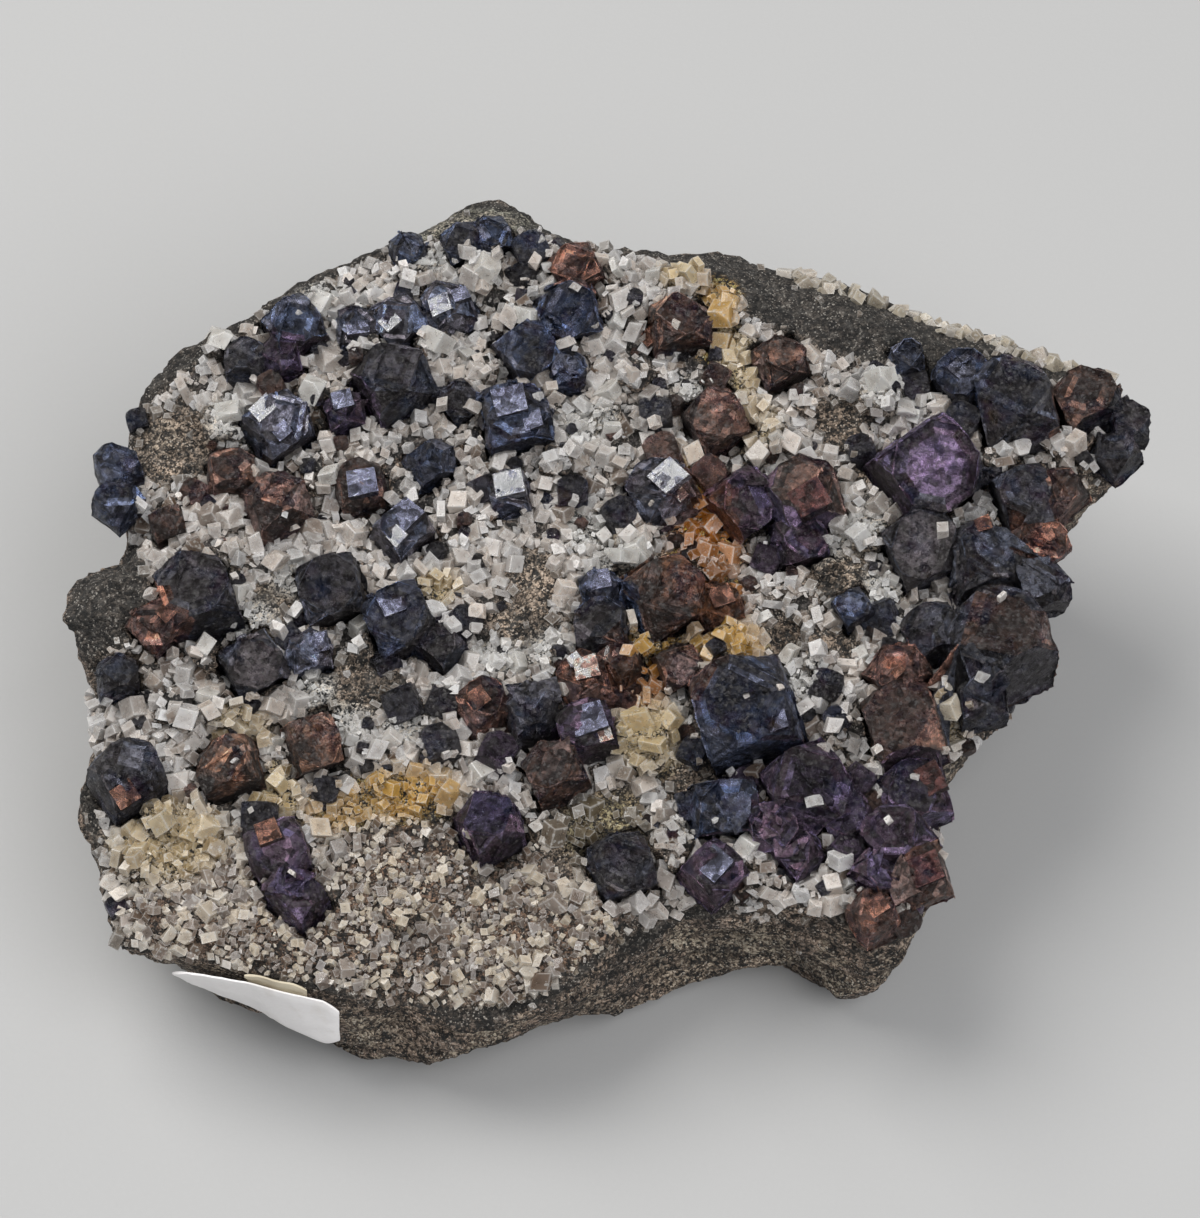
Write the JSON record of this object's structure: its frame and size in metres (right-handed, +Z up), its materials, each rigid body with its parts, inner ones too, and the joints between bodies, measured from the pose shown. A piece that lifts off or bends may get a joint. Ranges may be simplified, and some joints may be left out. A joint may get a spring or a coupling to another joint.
{
  "type": "galena on dolomite mineral specimen",
  "caption": "Broken slab of grey-brown dolostone lying on a flat foot, its tilted top crusted with pale dolomite rhombs and dark cubo-octahedral galena, with blank paper labels on one side.",
  "frame": {"origin": "on the flat foot that the slab rests on, under the middle of the crystal face", "axes": "+X to the right along the slab's longest side, +Y away from the viewer, towards the slab's high side, +Z up"},
  "size_m": [0.1262, 0.1015, 0.043],
  "materials": {
    "dolostone": "grey-brown granular dolostone with glassy dolomite rhombs",
    "galena_black": "dull black galena with a metallic sheen",
    "galena_blue": "blue-grey galena with a metallic sheen",
    "galena_copper": "copper-tarnished galena with a metallic sheen",
    "galena_rust": "brown-stained galena, half dull",
    "galena_silver": "bright galena, mirror-like cleavage",
    "galena_violet": "violet-tarnished galena with a metallic sheen",
    "old_paper": "cream paper, matt",
    "paper": "white paper, matt"
  },
  "bodies": {
    "root": {"galena_cluster_02": "galena_blue", "galena_cluster_03": "galena_copper", "galena_cluster_04": "galena_silver", "galena_cluster_05": "galena_blue", "galena_cluster_07": "galena_blue", "galena_cluster_08": "galena_rust", "galena_cluster_15": "galena_silver", "galena_cluster_17": "galena_black", "galena_cluster_18": "galena_black", "galena_cluster_19": "galena_black", "galena_cluster_24": "galena_blue", "galena_cluster_25": "galena_blue", "galena_cluster_28": "galena_violet", "galena_cluster_31": "galena_rust", "galena_cluster_32": "galena_rust", "galena_crystal_01": "galena_blue", "galena_crystal_06": "galena_silver", "galena_crystal_09": "galena_rust", "galena_crystal_10": "galena_silver", "galena_crystal_11": "galena_blue", "galena_crystal_12": "galena_rust", "galena_crystal_13": "galena_rust", "galena_crystal_14": "galena_silver", "galena_crystal_16": "galena_rust", "galena_crystal_20": "galena_black", "galena_crystal_21": "galena_rust", "galena_crystal_22": "galena_rust", "galena_crystal_23": "galena_black", "galena_crystal_26": "galena_violet", "galena_crystal_27": "galena_black", "galena_crystal_29": "galena_rust", "galena_crystal_30": "galena_blue", "galena_crystal_33": "galena_blue", "matrix_rock": "dolostone", "old_label": "old_paper", "paper_label": "paper"}
  },
  "joints": []
}
